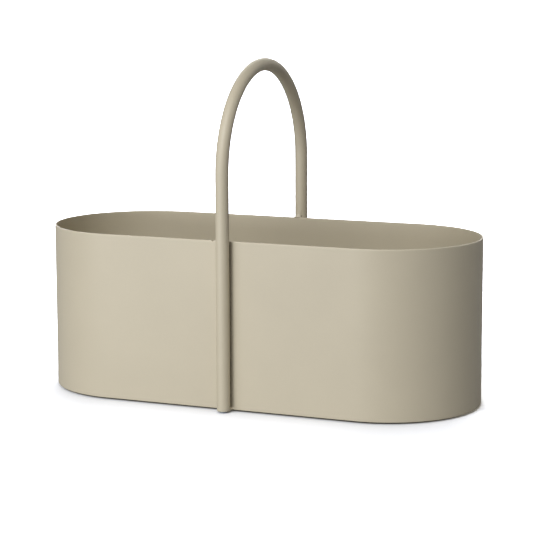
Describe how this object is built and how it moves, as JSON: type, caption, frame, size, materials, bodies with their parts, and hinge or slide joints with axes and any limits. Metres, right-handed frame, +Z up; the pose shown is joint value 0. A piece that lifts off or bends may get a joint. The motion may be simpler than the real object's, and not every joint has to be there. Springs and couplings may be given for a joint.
{
  "type": "open carry toolbox",
  "caption": "Open-topped obround toolbox of powder-coated sheet steel, with a flat welded base and an arched round-tube carry handle whose legs run down the long walls.",
  "frame": {"origin": "on the surface that the box stands on, under the middle of its plan", "axes": "+X along the box's length, +Y from the front wall to the rear wall, +Z up"},
  "size_m": [0.36, 0.1706, 0.27],
  "materials": {
    "powder_coat": "satin powder coat, warm beige, fine grain",
    "leg_plug": "moulded grey plastic, smooth matte",
    "foot_pad": "matte dark grey rubber"
  },
  "bodies": {
    "root": {"wall_band": "powder_coat", "wall_seam_weld": "powder_coat", "base_plate": "powder_coat", "base_weld_1": "powder_coat", "base_weld_2": "powder_coat", "base_weld_3": "powder_coat", "base_weld_4": "powder_coat", "base_weld_5": "powder_coat", "base_weld_6": "powder_coat", "base_weld_7": "powder_coat", "base_weld_8": "powder_coat", "handle_tube": "powder_coat", "rim_weld_front": "powder_coat", "rim_weld_rear": "powder_coat", "toe_weld_front": "powder_coat", "toe_weld_rear": "powder_coat", "leg_plug_front": "leg_plug", "leg_plug_rear": "leg_plug", "foot_pad_front_left": "foot_pad", "foot_pad_front_right": "foot_pad", "foot_pad_rear_left": "foot_pad", "foot_pad_rear_right": "foot_pad"}
  },
  "joints": []
}
